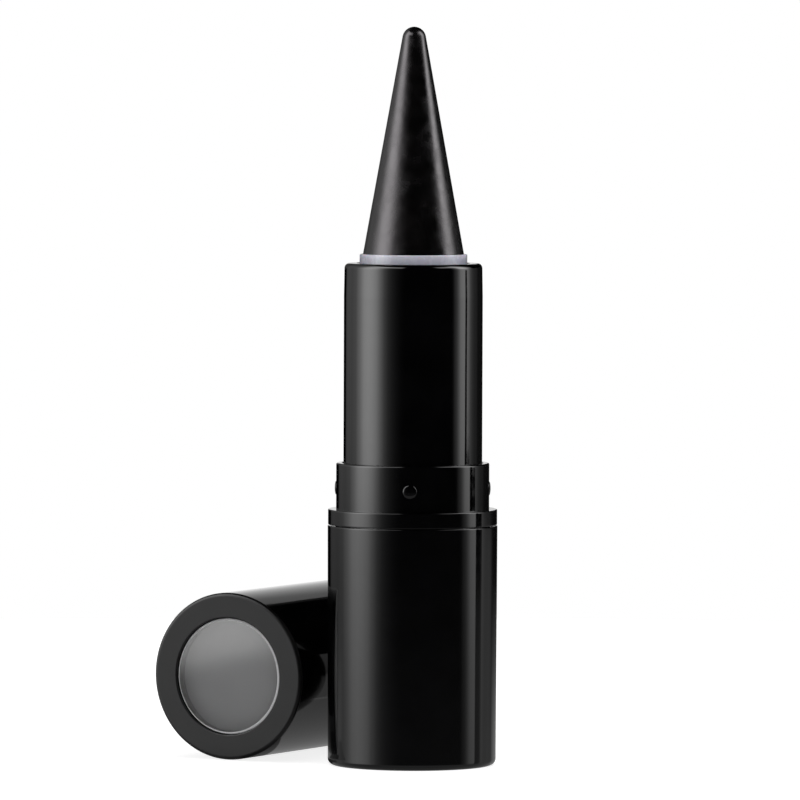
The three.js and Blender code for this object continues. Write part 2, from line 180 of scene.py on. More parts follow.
def turned_piece(name, corners, finish, closed=False, place=Matrix.Identity(4)):
    """A profile of corners (r, z, fillet) in mm, turned about Z and then put in its place."""
    points = rounded_profile(corners, closed)
    outline = bpy.data.meshes.new(name)
    edges = [(i, i + 1) for i in range(len(points) - 1)]
    if closed:
        edges.append((len(points) - 1, 0))
    outline.from_pydata([(p.x * MM - TURNING_CORE, -p.y * MM, 0) for p in points], edges, [])
    obj = bpy.data.objects.new(name, outline)
    bpy.context.scene.collection.objects.link(obj)
    run_tree(obj, turning, {"Steps": ROUND_STEPS, "Core": TURNING_CORE, "Finish": finish})
    return finished(obj, place)


def set_shader(finish, values):
    """Sets values that are the same all over the surface."""
    for socket, value in values.items():
        finish.node_tree.nodes["Principled BSDF"].inputs[socket].default_value = value


def new_finish(name, colour, roughness, ior=1.5):
    """A plain shader whose colour and gloss the finish then works over."""
    finish = bpy.data.materials.new(name)
    finish.use_nodes = True
    set_shader(finish, {"Base Color": (*colour, 1), "Roughness": roughness, "IOR": ior})
    return finish


def noise(finish, scale, detail=3.0, stretch=(1, 1, 1)):
    """A noise on the piece's own coordinates, in metres, stretched along the axes as given."""
    nodes, links = finish.node_tree.nodes, finish.node_tree.links
    where = nodes.new("ShaderNodeTexCoord")
    mapping = nodes.new("ShaderNodeMapping")
    mapping.inputs["Scale"].default_value = stretch
    texture = nodes.new("ShaderNodeTexNoise")
    texture.inputs["Scale"].default_value = scale
    texture.inputs["Detail"].default_value = detail
    links.new(where.outputs["Object"], mapping.inputs["Vector"])
    links.new(mapping.outputs["Vector"], texture.inputs["Vector"])
    return texture.outputs["Fac"]


NOISE_LOW = 0.35
NOISE_HIGH = 0.65


def vary(finish, socket, value, low, high):
    """Runs a shader value between low and high with the middle of the given noise."""
    nodes, links = finish.node_tree.nodes, finish.node_tree.links
    spread = nodes.new("ShaderNodeMapRange")
    spread.inputs["From Min"].default_value = NOISE_LOW
    spread.inputs["From Max"].default_value = NOISE_HIGH
    spread.inputs["To Min"].default_value = low
    spread.inputs["To Max"].default_value = high
    links.new(value, spread.inputs["Value"])
    links.new(spread.outputs["Result"], nodes["Principled BSDF"].inputs[socket])


def tint(finish, value, colours):
    """Runs the colour through the given stops (place, colour) with the given noise."""
    nodes, links = finish.node_tree.nodes, finish.node_tree.links
    ramp = nodes.new("ShaderNodeValToRGB")
    stops = ramp.color_ramp.elements
    for stop, (place, colour) in zip(stops, (colours[0], colours[-1])):
        stop.position = place
        stop.color = (*colour, 1)
    for place, colour in colours[1:-1]:
        stops.new(place).color = (*colour, 1)
    links.new(value, ramp.inputs["Fac"])
    links.new(ramp.outputs["Color"], nodes["Principled BSDF"].inputs["Base Color"])


def relief(finish, value, height, strength=1.0):
    """Raises the surface by the given noise, to a height in metres."""
    nodes, links = finish.node_tree.nodes, finish.node_tree.links
    bump = nodes.new("ShaderNodeBump")
    bump.inputs["Distance"].default_value = height
    bump.inputs["Strength"].default_value = strength
    links.new(value, bump.inputs["Height"])
    links.new(bump.outputs["Normal"], nodes["Principled BSDF"].inputs["Normal"])


polished_black = new_finish("polished_black", (0.001, 0.001, 0.0011), 0.05)
tint(polished_black, noise(polished_black, 220), [
    (0.3, (0.0006, 0.0006, 0.0007)),
    (0.7, (0.0014, 0.0014, 0.0016)),
])
vary(polished_black, "Roughness", noise(polished_black, 900, 5), 0.035, 0.075)
relief(polished_black, noise(polished_black, 120, 1, (1, 1, 0.4)), 0.000012)

base_shell = turned_piece("base_shell_turned", [
    (0, 0, 0),
    (base_rim - base_draft, 0, base_foot_round),
    (base_rim, base_top, fine_round),
    (base_bore, base_top, 0),
    (base_bore, base_floor + base_corner, 0),
    (base_bore - base_corner, base_floor, 0),
    (0, base_floor, 0),
], polished_black)
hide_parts("base_shell")
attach(base_shell, "base")

# Base insert
# The inner base is a plain black moulding, left as it comes from the mould because the shell covers it.
# It stands on the shell's floor, and its bore grips the splines of the fork.

inner_black = new_finish("inner_black", (0.02, 0.02, 0.022), 0.5)
tint(inner_black, noise(inner_black, 400), [(0.3, (0.016, 0.016, 0.017)), (0.7, (0.026, 0.026, 0.028))])
vary(inner_black, "Roughness", noise(inner_black, 1500, 4), 0.42, 0.58)
relief(inner_black, noise(inner_black, 5000, 2), 0.00001, 0.4)


def refinish(node, finish):
    """Gives a carried-over solid its finish."""
    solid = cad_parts[node]
    solid.data.materials.clear()
    solid.data.materials.append(finish)


refinish("base_insert", inner_black)

# Guide fork
# The fork is a thin natural-white tube with two straight slots that keep the cup's lugs from turning.
# Its splined plug is pressed into the insert, and its foot carries the brake ring.

mechanism_white = new_finish("mechanism_white", (0.68, 0.68, 0.66), 0.45)
tint(mechanism_white, noise(mechanism_white, 300), [(0.3, (0.64, 0.64, 0.61)), (0.7, (0.71, 0.71, 0.69))])
vary(mechanism_white, "Roughness", noise(mechanism_white, 1800, 3), 0.4, 0.52)
relief(mechanism_white, noise(mechanism_white, 3000, 2), 0.00001, 0.3)
refinish("guide_fork", mechanism_white)

# Brake ring
# A soft black rubber ring lies on the fork's foot, where the cam's lower end rubs on it.
# Its drag keeps the kohl at the height that it was turned to.

brake_rubber = new_finish("brake_rubber", (0.03, 0.03, 0.03), 0.8)
tint(brake_rubber, noise(brake_rubber, 700), [(0.3, (0.024, 0.024, 0.024)), (0.7, (0.038, 0.038, 0.039))])
vary(brake_rubber, "Roughness", noise(brake_rubber, 2500, 3), 0.7, 0.9)
relief(brake_rubber, noise(brake_rubber, 9000, 2), 0.00001, 0.5)
refinish("brake_ring", brake_rubber)

# Cam sleeve
# The cam is a natural-white sleeve with two helical slots that lift the cup's lugs as it turns.
# It is fixed inside the cover tube and runs on the fork.

refinish("cam_sleeve", mechanism_white)

# Cover tube
# The cover is a polished black tube whose top edge is rounded and turned in over the mechanism.
# A bead at its lower end sits under the collar's throat, so that it turns but can't be pulled out.

cover_low, cover_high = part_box("cover_tube")
cover_bead = cover_high.x / MM
cover_bottom = cover_low.z / MM
cover_top = cover_high.z / MM
cover_bead_step = 0.3
cover_bead_height = 1.6
cover_wall = 0.48
cover_draft = 0.07
cover_draft_run = 4
cover_rim_drop = 0.02
cover_rim_round = 0.6
cover_lip_reach = 1.57
cover_lip_depth = 0.8
cover_lip_round = 0.1
cover_outside = cover_bead - cover_bead_step
cover_inside = cover_outside - cover_wall
cover_mouth = cover_outside - cover_lip_reach
cover_rim = cover_top - cover_rim_drop
cover_tube = turned_piece("cover_tube_turned", [
    (cover_inside, cover_bottom, 0),
    (cover_outside, cover_bottom, 0),
    (cover_bead, cover_bottom + cover_bead_step, 0),
    (cover_bead, cover_bottom + cover_bead_height, 0),
    (cover_outside, cover_bottom + cover_bead_height, 0),
    (cover_outside, cover_top - cover_draft_run, 0),
    (cover_outside - cover_draft, cover_rim, cover_rim_round),
    (cover_mouth, cover_rim, cover_lip_round),
    (cover_mouth, cover_top - cover_lip_depth, 0),
    (cover_inside, cover_top - cover_lip_depth, 0),
], polished_black, closed=True)
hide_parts("cover_tube")
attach(cover_tube, "sleeve")

# Collar
# The collar is a black moulding: a skirt inside the base, a flange that the cap closes on, and a barrel.
# Four low beads moulded round the barrel snap into the cap's groove.

collar_low, collar_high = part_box("collar")
flange_rim = collar_high.x / MM
collar_bottom = collar_low.z / MM
collar_top = collar_high.z / MM
skirt_inside = 8.74
skirt_outside = 9.16
skirt_chamfer = 0.25
skirt_height = 8.9
barrel_outside = 9.18
barrel_height = 5.55
barrel_round = 0.2
throat_inside = 8.44
throat_rise = 3.87
edge_round = 0.12
flange_bottom = collar_bottom + skirt_height
flange_top = collar_top - barrel_height
throat_bottom = collar_bottom + throat_rise
collar = turned_piece("collar_turned", [
    (skirt_inside, collar_bottom, 0),
    (skirt_outside - skirt_chamfer, collar_bottom, 0),
    (skirt_outside, collar_bottom + skirt_chamfer, 0),
    (skirt_outside, flange_bottom, 0),
    (flange_rim, flange_bottom, fine_round),
    (flange_rim, flange_top, edge_round),
    (barrel_outside, flange_top, 0),
    (barrel_outside, collar_top, barrel_round),
    (throat_inside, collar_top, fine_round),
    (throat_inside, throat_bottom, 0),
    (skirt_inside, throat_bottom, 0),
], polished_black, closed=True)

BEAD_SEGMENTS = 32
BEAD_RINGS = 16
beading = new_tree("snap_beads", [
    ("Count", "NodeSocketInt"),
    ("Ring Radius", "NodeSocketFloat"),
    ("Height", "NodeSocketFloat"),
    ("Start Angle", "NodeSocketFloat"),
    ("Bead Radius", "NodeSocketFloat"),
    ("Bead Size", "NodeSocketVector"),
    ("Finish", "NodeSocketMaterial"),
])
beading_in = beading.nodes.new("NodeGroupInput")
beading_out = beading.nodes.new("NodeGroupOutput")
beading_ring = beading.nodes.new("GeometryNodeMeshCircle")
beading_dome = beading.nodes.new("GeometryNodeMeshUVSphere")
beading_flat = beading.nodes.new("GeometryNodeTransform")
beading_index = beading.nodes.new("GeometryNodeInputIndex")
beading_share = beading.nodes.new("ShaderNodeMath")
beading_turn = beading.nodes.new("ShaderNodeMath")
beading_angle = beading.nodes.new("ShaderNodeCombineXYZ")
beading_spread = beading.nodes.new("GeometryNodeInstanceOnPoints")
beading_whole = beading.nodes.new("ShaderNodeCombineXYZ")
beading_place = beading.nodes.new("GeometryNodeTransform")
beading_up = beading.nodes.new("ShaderNodeCombineXYZ")
beading_join = beading.nodes.new("GeometryNodeJoinGeometry")
beading_real = beading.nodes.new("GeometryNodeRealizeInstances")
beading_finish = beading.nodes.new("GeometryNodeSetMaterial")
beading_dome.inputs["Segments"].default_value = BEAD_SEGMENTS
beading_dome.inputs["Rings"].default_value = BEAD_RINGS
beading_share.operation = "DIVIDE"
beading_share.inputs[0].default_value = 2 * math.pi
beading_turn.operation = "MULTIPLY"
wire(beading, [
    (beading_in, "Count", beading_ring, "Vertices"),
    (beading_in, "Ring Radius", beading_ring, "Radius"),
    (beading_in, "Bead Radius", beading_dome, "Radius"),
    (beading_dome, "Mesh", beading_flat, "Geometry"),
    (beading_in, "Bead Size", beading_flat, "Scale"),
    (beading_in, "Count", beading_share, 1),
    (beading_share, "Value", beading_turn, 0),
    (beading_index, "Index", beading_turn, 1),
    (beading_turn, "Value", beading_angle, "Z"),
    (beading_ring, "Mesh", beading_spread, "Points"),
    (beading_flat, "Geometry", beading_spread, "Instance"),
    (beading_angle, "Vector", beading_spread, "Rotation"),
    (beading_in, "Start Angle", beading_whole, "Z"),
    (beading_in, "Height", beading_up, "Z"),
    (beading_spread, "Instances", beading_place, "Geometry"),
    (beading_whole, "Vector", beading_place, "Rotation"),
    (beading_up, "Vector", beading_place, "Translation"),
    (beading_in, "Geometry", beading_join, "Geometry"),
    (beading_place, "Geometry", beading_join, "Geometry"),
    (beading_join, "Geometry", beading_real, "Geometry"),
    (beading_real, "Geometry", beading_finish, "Geometry"),
    (beading_in, "Finish", beading_finish, "Material"),
    (beading_finish, "Geometry", beading_out, "Geometry"),
])

bead_count = 4
bead_drop = 3.05
bead_start = math.radians(25.7)
bead_radius = 0.83
bead_flatness = 0.2
run_tree(collar, beading, {
    "Count": bead_count,
    "Ring Radius": barrel_outside * MM,
    "Height": (collar_top - bead_drop) * MM,
    "Start Angle": bead_start,
    "Bead Radius": bead_radius * MM,
    "Bead Size": (bead_flatness, 1, 1),
    "Finish": polished_black,
})
for face in collar.data.polygons:
    face.use_smooth = True
collar.data.set_sharp_from_angle(angle=SHARP_EDGE)
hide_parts("collar")
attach(collar, "base")

# Carrier cup
# The cup is moulded in natural plastic, pale and a little translucent, and only its rim shows.
# It holds the kohl, and its two lugs reach through the fork's slots into the cam.

cup_pale = new_finish("cup_pale", (0.675, 0.68, 0.785), 0.3, 1.49)
tint(cup_pale, noise(cup_pale, 500, 2), [(0.3, (0.64, 0.645, 0.745)), (0.7, (0.71, 0.715, 0.825))])
vary(cup_pale, "Roughness", noise(cup_pale, 1500, 3), 0.2, 0.32)
relief(cup_pale, noise(cup_pale, 260, 2, (1, 1, 0.15)), 0.00003, 0.5)
set_shader(cup_pale, {
    "Specular IOR Level": 0.75,
    "Subsurface Weight": 0.25,
    "Subsurface Scale": 0.0006,
})

cup_low, cup_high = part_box("carrier_cup")
cup_bottom = cup_low.z / MM
cup_top = cup_high.z / MM
cup_outside = 6.45
cup_inside = 6.10
cup_vent = 1.2
cup_floor = cup_bottom + 0.8
cup_lip_round = 0.05
carrier_cup = turned_piece("carrier_cup_turned", [
    (cup_vent, cup_bottom, 0),
    (cup_outside, cup_bottom, edge_round),
    (cup_outside, cup_top, edge_round),
    (cup_inside, cup_top, cup_lip_round),
    (cup_inside, cup_floor, 0),
    (cup_vent, cup_floor, 0),
], cup_pale, closed=True)

LUG_STEPS = 32
lug_radius = 0.9
lug_length = 1.41
lug_reach = 6.98
lug_height = cup_bottom + 1.5
lug_shape = bmesh.new()
lug_shape.from_mesh(carrier_cup.data)
for side in (1, -1):
    lug = bmesh.ops.create_cone(
        lug_shape,
        cap_ends=True,
        segments=LUG_STEPS,
        radius1=lug_radius * MM,
        radius2=lug_radius * MM,
        depth=lug_length * MM,
    )
    bmesh.ops.rotate(lug_shape, verts=lug["verts"], matrix=Matrix.Rotation(math.pi / 2, 3, "Y"))
    bmesh.ops.translate(lug_shape, verts=lug["verts"], vec=(side * lug_reach * MM, 0, lug_height * MM))
lug_shape.to_mesh(carrier_cup.data)
lug_shape.free()
carrier_cup.data.set_sharp_from_angle(angle=SHARP_EDGE)
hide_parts("carrier_cup")
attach(carrier_cup, "carrier")

# Kohl bullet
# The kohl is cast as a cone with a round tip, and its stem is held in the cup.
# It is a waxy black, satin, with faint casting marks.

kohl = new_finish("kohl", (0.0018, 0.0017, 0.0018), 0.24, 1.5)
tint(kohl, noise(kohl, 190, 9), [
    (0.36, (0.0008, 0.0008, 0.0009)),
    (0.52, (0.0018, 0.0016, 0.0017)),
    (0.66, (0.004, 0.0035, 0.0036)),
])
vary(kohl, "Roughness", noise(kohl, 520, 10), 0.11, 0.29)
relief(kohl, noise(kohl, 420, 9), 0.00009, 0.45)
set_shader(kohl, {"Specular Tint": (1.0, 0.95, 0.985, 1)})

TIP_STEPS = 20
kohl_low, kohl_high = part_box("kohl_bullet")
tip_height = kohl_high.z / MM
stem_bottom = kohl_low.z / MM
stem_chamfer = 0.4
tip_radius = 1.42
rim_radius = 6.05
tip_centre = tip_height - tip_radius
rim_drop = cup_top - tip_centre
tangent = math.atan2(rim_drop, rim_radius) + math.acos(tip_radius / math.hypot(rim_radius, rim_drop))
tip_arc = [tangent + (math.pi / 2 - tangent) * step / TIP_STEPS for step in range(TIP_STEPS)]
kohl_bullet = turned_piece("kohl_bullet_cast", [
    (0, stem_bottom, 0),
    (rim_radius - stem_chamfer, stem_bottom, 0),
    (rim_radius, stem_bottom + stem_chamfer, 0),
    (rim_radius, cup_top, 0),
    *[(tip_radius * math.cos(a), tip_centre + tip_radius * math.sin(a), 0) for a in tip_arc],
    (0, tip_height, 0),
], kohl)
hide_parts("kohl_bullet")
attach(kohl_bullet, "carrier")

# Cap shell
# The cap is a thin polished black moulding with a satin ring round its recessed end.
# It lies on its side, where it was put down, with its closed end to the front.

cap_low, cap_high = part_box("cap_shell")
disc_low, disc_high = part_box("shade_disc")
disc_bottom = (cap_high.y - disc_high.y) / MM
disc_top = (cap_high.y - disc_low.y) / MM
disc_gap = 0.1
disc_seat = 0.05
cap_rim = (cap_high.z - cap_low.z) / 2 / MM
cap_length = (cap_high.y - cap_low.y) / MM
cap_bore = 9.69
cap_draft = 0.06
cap_end_wall = 0.6
cap_end_round = 0.4
recess_rim = (disc_high.x - disc_low.x) / 2 / MM + disc_gap
recess_floor = disc_bottom - disc_seat
recess_step = 0.5
cap_depth = recess_floor - cap_end_wall
cap_across = (cap_low.x + cap_high.x) / 2
cap_up = (cap_low.z + cap_high.z) / 2
cap_place = Matrix.Translation((cap_across, cap_high.y, cap_up)) @ Matrix.Rotation(math.pi / 2, 4, "X")

satin_black = new_finish("satin_black", (0.002, 0.002, 0.0022), 0.3)
tint(satin_black, noise(satin_black, 300), [
    (0.3, (0.0015, 0.0015, 0.0016)),
    (0.7, (0.0028, 0.0028, 0.0030)),
])
vary(satin_black, "Roughness", noise(satin_black, 700, 4), 0.30, 0.36)
relief(satin_black, noise(satin_black, 3000, 2), 0.000004, 0.3)
set_shader(satin_black, {"Specular IOR Level": 0.3})

cap_shell = turned_piece("cap_shell_turned", [
    (0, cap_depth, 0),
    (cap_bore, cap_depth, 0),
    (cap_bore, 0, 0),
    (cap_rim, 0, edge_round),
    (cap_rim - cap_draft, cap_length, cap_end_round),
    (recess_rim, cap_length, edge_round),
    (recess_rim, cap_length - recess_step, 0),
    (recess_rim, recess_floor, 0),
    (0, recess_floor, 0),
], polished_black, place=cap_place)
cap_shell.data.materials.append(satin_black)
satin_depth = 0.45
for face in cap_shell.data.polygons:
    if face.center.y < cap_low.y + satin_depth * MM:
        face.material_index = 1
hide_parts("cap_shell")
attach(cap_shell, "cap")

# Cap liner
# A thin black sleeve is pressed into the cap, from a little inside the mouth to the end.
# Its shallow groove snaps over the collar's beads.

liner_inside = 9.29
liner_outside = 9.64
liner_mouth = 0.4
liner_lead_in = 0.2
liner_end = cap_depth - 0.1
groove_bottom = 9.41
groove_middle = 2.5
groove_reach = 0.825
groove_flat = 0.4125
cap_liner = turned_piece("cap_liner_turned", [
    (liner_inside, liner_end, 0),
    (liner_inside, groove_middle + groove_reach, 0),
    (groove_bottom, groove_middle + groove_flat, 0),
    (groove_bottom, groove_middle - groove_flat, 0),
    (liner_inside, groove_middle - groove_reach, 0),
    (liner_inside, liner_mouth + liner_lead_in, 0),
    (liner_inside + liner_lead_in, liner_mouth, 0),
    (liner_outside, liner_mouth, 0),
    (liner_outside, liner_end, 0),
], inner_black, closed=True, place=cap_place)
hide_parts("cap_liner")
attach(cap_liner, "cap")

# Shade disc
# A thin disc, coated in a satin grey, shows through the lens in the cap's end.
# It lies loose on the floor of the recess, where the lens keeps it in place.

shade_grey = new_finish("shade_grey", (0.38, 0.38, 0.38), 0.4)
tint(shade_grey, noise(shade_grey, 150), [(0.3, (0.37, 0.37, 0.37)), (0.7, (0.39, 0.39, 0.39))])
vary(shade_grey, "Roughness", noise(shade_grey, 300, 2), 0.38, 0.44)
set_shader(shade_grey, {"Specular IOR Level": 0.02})

disc_rim = recess_rim - 0.04
disc_round = 0.05
shade_disc = turned_piece("shade_disc_turned", [
    (0, disc_bottom, 0),
    (disc_rim, disc_bottom, 0),
    (disc_rim, disc_top, disc_round),
    (0, disc_top, 0),
], shade_grey, place=cap_place)
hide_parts("shade_disc")
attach(shade_disc, "cap")

# Window lens
# A clear moulded disc with a polished face and a frosted bevel is pressed into the recess of the cap's end.
# Its underside lies close on the shade disc and its side on the wall, so neither of them mirrors anything.

clear_lens = new_finish("clear_lens", (0.97, 0.97, 0.975), 0.015, 1.59)
vary(clear_lens, "Roughness", noise(clear_lens, 300, 2), 0.010, 0.018)
set_shader(clear_lens, {
    "Transmission Weight": 1.0,
    "Coat Weight": 1.0,
    "Coat IOR": 1.7,
    "Coat Roughness": 0.015,
})
lens_bevel = new_finish("lens_bevel", (0.84, 0.84, 0.85), 0.35, 1.59)
vary(lens_bevel, "Roughness", noise(lens_bevel, 800, 3), 0.3, 0.42)
set_shader(lens_bevel, {"Transmission Weight": 0.1})
lens_side = new_finish("lens_side", (0.24, 0.24, 0.24), 0.4, 1.49)
tint(lens_side, noise(lens_side, 400, 3), [(0.3, (0.23, 0.23, 0.23)), (0.7, (0.25, 0.25, 0.25))])
vary(lens_side, "Roughness", noise(lens_side, 800, 3), 0.35, 0.45)
lens_seat = new_finish("lens_seat", (1.0, 1.0, 1.0), 0.0, 1.0)
set_shader(lens_seat, {"Transmission Weight": 1.0})

lens_low, lens_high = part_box("window_lens")
lens_sink = 0.1
lens_rim = (lens_high.x - lens_low.x) / 2 / MM
lens_bottom = (cap_high.y - lens_high.y) / MM
lens_top = (cap_high.y - lens_low.y) / MM - lens_sink
lens_bevel_width = 0.22
lens_foot_chamfer = 0.08
window_lens = turned_piece("window_lens_turned", [
    (0, lens_bottom, 0),
    (lens_rim - lens_foot_chamfer, lens_bottom, 0),
    (lens_rim, lens_bottom + lens_foot_chamfer, 0),
    (lens_rim, lens_top - lens_bevel_width, 0),
    (lens_rim - lens_bevel_width, lens_top, 0),
    (0, lens_top, 0),
], clear_lens, place=cap_place)
for finish in (lens_bevel, lens_side, lens_seat):
    window_lens.data.materials.append(finish)
lens_edge_start = (lens_rim - 0.2) * MM
lens_bevel_end = lens_low.y + 0.3 * MM
lens_seat_start = lens_high.y - 0.1 * MM
for face in window_lens.data.polygons:
    out = math.hypot(face.center.x - cap_place.translation.x, face.center.z - cap_place.translation.z)
    if out > lens_edge_start:
        face.material_index = 1 if face.center.y < lens_bevel_end else 2
    elif face.center.y > lens_seat_start:
        face.material_index = 3
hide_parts("window_lens")
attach(window_lens, "cap")

# Table
# A plain white round table top, which keeps the object's shadow.
# Reflections don't see it: the cards further down give the black pieces what they mirror there.

TABLE_STEPS = 96
table_radius = 0.25
table_white = new_finish("table_white", (0.5, 0.5, 0.5), 1.0)
set_shader(table_white, {
    "Specular IOR Level": 0.0,
    "Emission Color": (1, 1, 1, 1),
    "Emission Strength": 0.82,
})
table_angles = [2 * math.pi * step / TABLE_STEPS for step in range(TABLE_STEPS)]
table_edge = [(table_radius * math.cos(a), table_radius * math.sin(a), 0) for a in table_angles]
table_shape = bpy.data.meshes.new("table")
table_shape.from_pydata(table_edge, [], [tuple(range(TABLE_STEPS))])
table_shape.materials.append(table_white)
table = bpy.data.objects.new("table", table_shape)
table.visible_glossy = False
bpy.context.scene.collection.objects.link(table)

# Curtains
# Rings of glowing cloth and dark flags hang round the table, and the polished black mirrors them.
# Each cloth's brightness is given by the angle from the camera in degrees and by the height in metres.

CURTAIN_STEP = 2
stage_floor = -0.5
stage_ceiling = 2.4
stage_height = stage_ceiling - stage_floor
half_turn = 180
full_turn = 360
camera_azimuth = math.radians(27.8)


def only_mirrored(sheet):
    """Hides a stage piece from all but reflections."""
    sheet.visible_camera = False
    sheet.visible_diffuse = False
    sheet.visible_transmission = False
    sheet.visible_shadow = False


def curtain(name, start, end, low, high, distance, finish):
    """An upright strip round the object between two angles from the camera, seen only in reflections."""
    steps = max(2, round(abs(end - start) / CURTAIN_STEP))
    points, faces = [], []
    for step in range(steps + 1):
        turn = camera_azimuth + math.radians(start + (end - start) * step / steps)
        for height in (low, high):
            points.append((distance * math.sin(turn), -distance * math.cos(turn), height))
    for step in range(steps):
        faces.append((2 * step, 2 * step + 1, 2 * step + 3, 2 * step + 2))
    shape = bpy.data.meshes.new(name)
    shape.from_pydata(points, [], faces)
    shares = shape.uv_layers.new(name="round")
    for loop in shape.loops:
        angle = start + (end - start) * (loop.vertex_index // 2) / steps
        height = high if loop.vertex_index % 2 else low
        shares.data[loop.index].uv = (
            (angle + half_turn) / full_turn,
            (height - stage_floor) / stage_height,
        )
    shape.materials.append(finish)
    strip = bpy.data.objects.new(name, shape)
    only_mirrored(strip)
    bpy.context.scene.collection.objects.link(strip)


def glow(name, strength):
    """A plain glowing or dark card."""
    finish = bpy.data.materials.new(name)
    finish.use_nodes = True
    finish.node_tree.nodes.clear()
    lit = finish.node_tree.nodes.new("ShaderNodeEmission")
    lit.inputs["Strength"].default_value = strength
    out = finish.node_tree.nodes.new("ShaderNodeOutputMaterial")
    finish.node_tree.links.new(lit.outputs["Emission"], out.inputs["Surface"])
    return finish


def brightness_ramp(nodes, levels, start, span, brightest):
    """A ramp through the levels (place, level), with places as a share of the span and levels of the top."""
    ramp = nodes.new("ShaderNodeValToRGB")
    stops = ramp.color_ramp.elements
    for i, (place, level) in enumerate(levels):
        share = (place - start) / span
        stop = stops[0] if i == 0 else stops.new(share)
        stop.position = share
        stop.color = (level / brightest, level / brightest, level / brightest, 1)
    stops.remove(stops[len(stops) - 1])
    return ramp


def diffuser(name, round_levels, height_levels):
    """A glowing cloth whose brightness is the product of its levels round the object and up the cloth."""
    round_brightest = 5
    height_brightest = 2
    finish = glow(name, 1.0)
    nodes = finish.node_tree.nodes
    where = nodes.new("ShaderNodeTexCoord")
    share = nodes.new("ShaderNodeSeparateXYZ")
    round_ramp = brightness_ramp(nodes, round_levels, -half_turn, full_turn, round_brightest)
    height_ramp = brightness_ramp(nodes, height_levels, stage_floor, stage_height, height_brightest)
    fade = nodes.new("ShaderNodeMath")
    fade.operation = "MULTIPLY"
    fade.inputs[1].default_value = round_brightest * height_brightest
    wire(finish.node_tree, [
        (where, "UV", share, "Vector"),
        (share, "X", round_ramp, "Fac"),
        (share, "Y", height_ramp, "Fac"),
        (height_ramp, "Color", fade, 0),
        (round_ramp, "Color", nodes["Emission"], "Color"),
        (fade, "Value", nodes["Emission"], "Strength"),
    ])
    return finish


def see_through(finish):
    """Adds the cloth's glow to whatever lies behind it."""
    nodes = finish.node_tree.nodes
    clear = nodes.new("ShaderNodeBsdfTransparent")
    both = nodes.new("ShaderNodeAddShader")
    wire(finish.node_tree, [
        (nodes["Emission"], "Emission", both, 0),
        (clear, "BSDF", both, 1),
        (both, "Shader", nodes["Material Output"], "Surface"),
    ])


low_levels = [
    (-0.5, 0.30), (-0.147, 0.355), (-0.120, 0.41), (-0.086, 0.52), (-0.064, 0.66), (-0.054, 0.76),
    (-0.041, 0.9), (-0.001, 1.0),
]
left_cloth = diffuser("left_cloth", [
    (-178, 0.02), (-165, 0.06), (-150, 0.12), (-138, 0.30), (-122, 0.47), (-110, 0.80), (-99, 2.0),
    (-89, 3.8), (-80, 4.5), (-72, 4.4), (-64, 3.6), (-56, 2.05), (-49, 0.92), (-42, 0.40), (-35, 0.19),
    (-28, 0.08), (-20, 0.02), (-14, 0.0), (0, 0.0),
], [*low_levels, (0.2, 1.15), (0.66, 1.3), (2.39, 1.0)])
right_cloth = diffuser("right_cloth", [
    (0, 0.0), (66, 0.0), (70, 0.05), (78, 0.6), (82, 1.3), (86, 2.2), (92, 2.4), (96, 2.3), (101, 1.9),
    (106, 1.25), (111, 0.54), (117, 0.26), (124, 0.13), (131, 0.09), (136, 0.03), (153, 0.01), (178, 0.01),
], [*low_levels, (0.2, 1.3), (0.38, 1.6), (0.5, 2.6), (0.8, 2.8), (2.39, 1.8)])
front_cloth = diffuser("front_cloth", [
    (-62, 0.0), (-45, 0.075), (-14, 0.06), (66, 0.06), (80, 0.0),
], [
    (-0.5, 1.0), (-0.147, 0.95), (-0.12, 0.6), (-0.08, 0.12), (-0.04, 0.0), (2.39, 0.0),
])
low_right_cloth = diffuser("low_right_cloth", [
    (105, 0.0), (108, 0.14), (111, 0.21), (116, 0.20), (122, 0.20), (127, 0.20), (131, 0.17), (135, 0.12),
    (139, 0.03), (143, 0.0),
], [
    (-0.5, 1.2), (-0.1325, 1.15), (-0.105, 1.0), (-0.071, 0.8), (-0.064, 0.5), (-0.06, 0.0), (2.39, 0.0),
])
floor_right_cloth = diffuser("floor_right_cloth", [
    (132, 0.0), (138, 0.10), (142, 0.28), (146, 0.36), (150, 0.37), (178, 0.37),
], [
    (-0.5, 1.0), (-0.1325, 1.0), (-0.12, 0.75), (-0.105, 0.38), (-0.089, 0.1), (-0.08, 0.0), (2.39, 0.0),
])
low_left_cloth = diffuser("low_left_cloth", [
    (-130, 0.0), (-125, 0.2), (-114, 0.2), (-108, 0.05), (-104, 0.0),
], [
    (-0.5, 1.0), (-0.12, 1.0), (-0.108, 0.6), (-0.1, 0.0), (2.39, 0.0),
])
high_cloth = diffuser("high_cloth", [
    (-66, 0.0), (-58, 2.7), (-24, 2.7), (-16, 0.0), (44, 0.0), (54, 2.4), (78, 2.4), (84, 0.0),
], [
    (-0.5, 0.0), (0.95, 0.0), (1.1, 1.0), (2.39, 1.0),
])
for cloth in (front_cloth, low_right_cloth, floor_right_cloth, low_left_cloth, high_cloth):
    see_through(cloth)
stand_grey = diffuser("stand_grey", [
    (90, 1.0), (112, 1.0),
], [
    (-0.5, 0.16), (-0.105, 0.16), (-0.092, 0.08), (-0.08, 0.01), (-0.07, 0.0), (2.39, 0.0),
])
flag_black = glow("flag_black", 0.0)

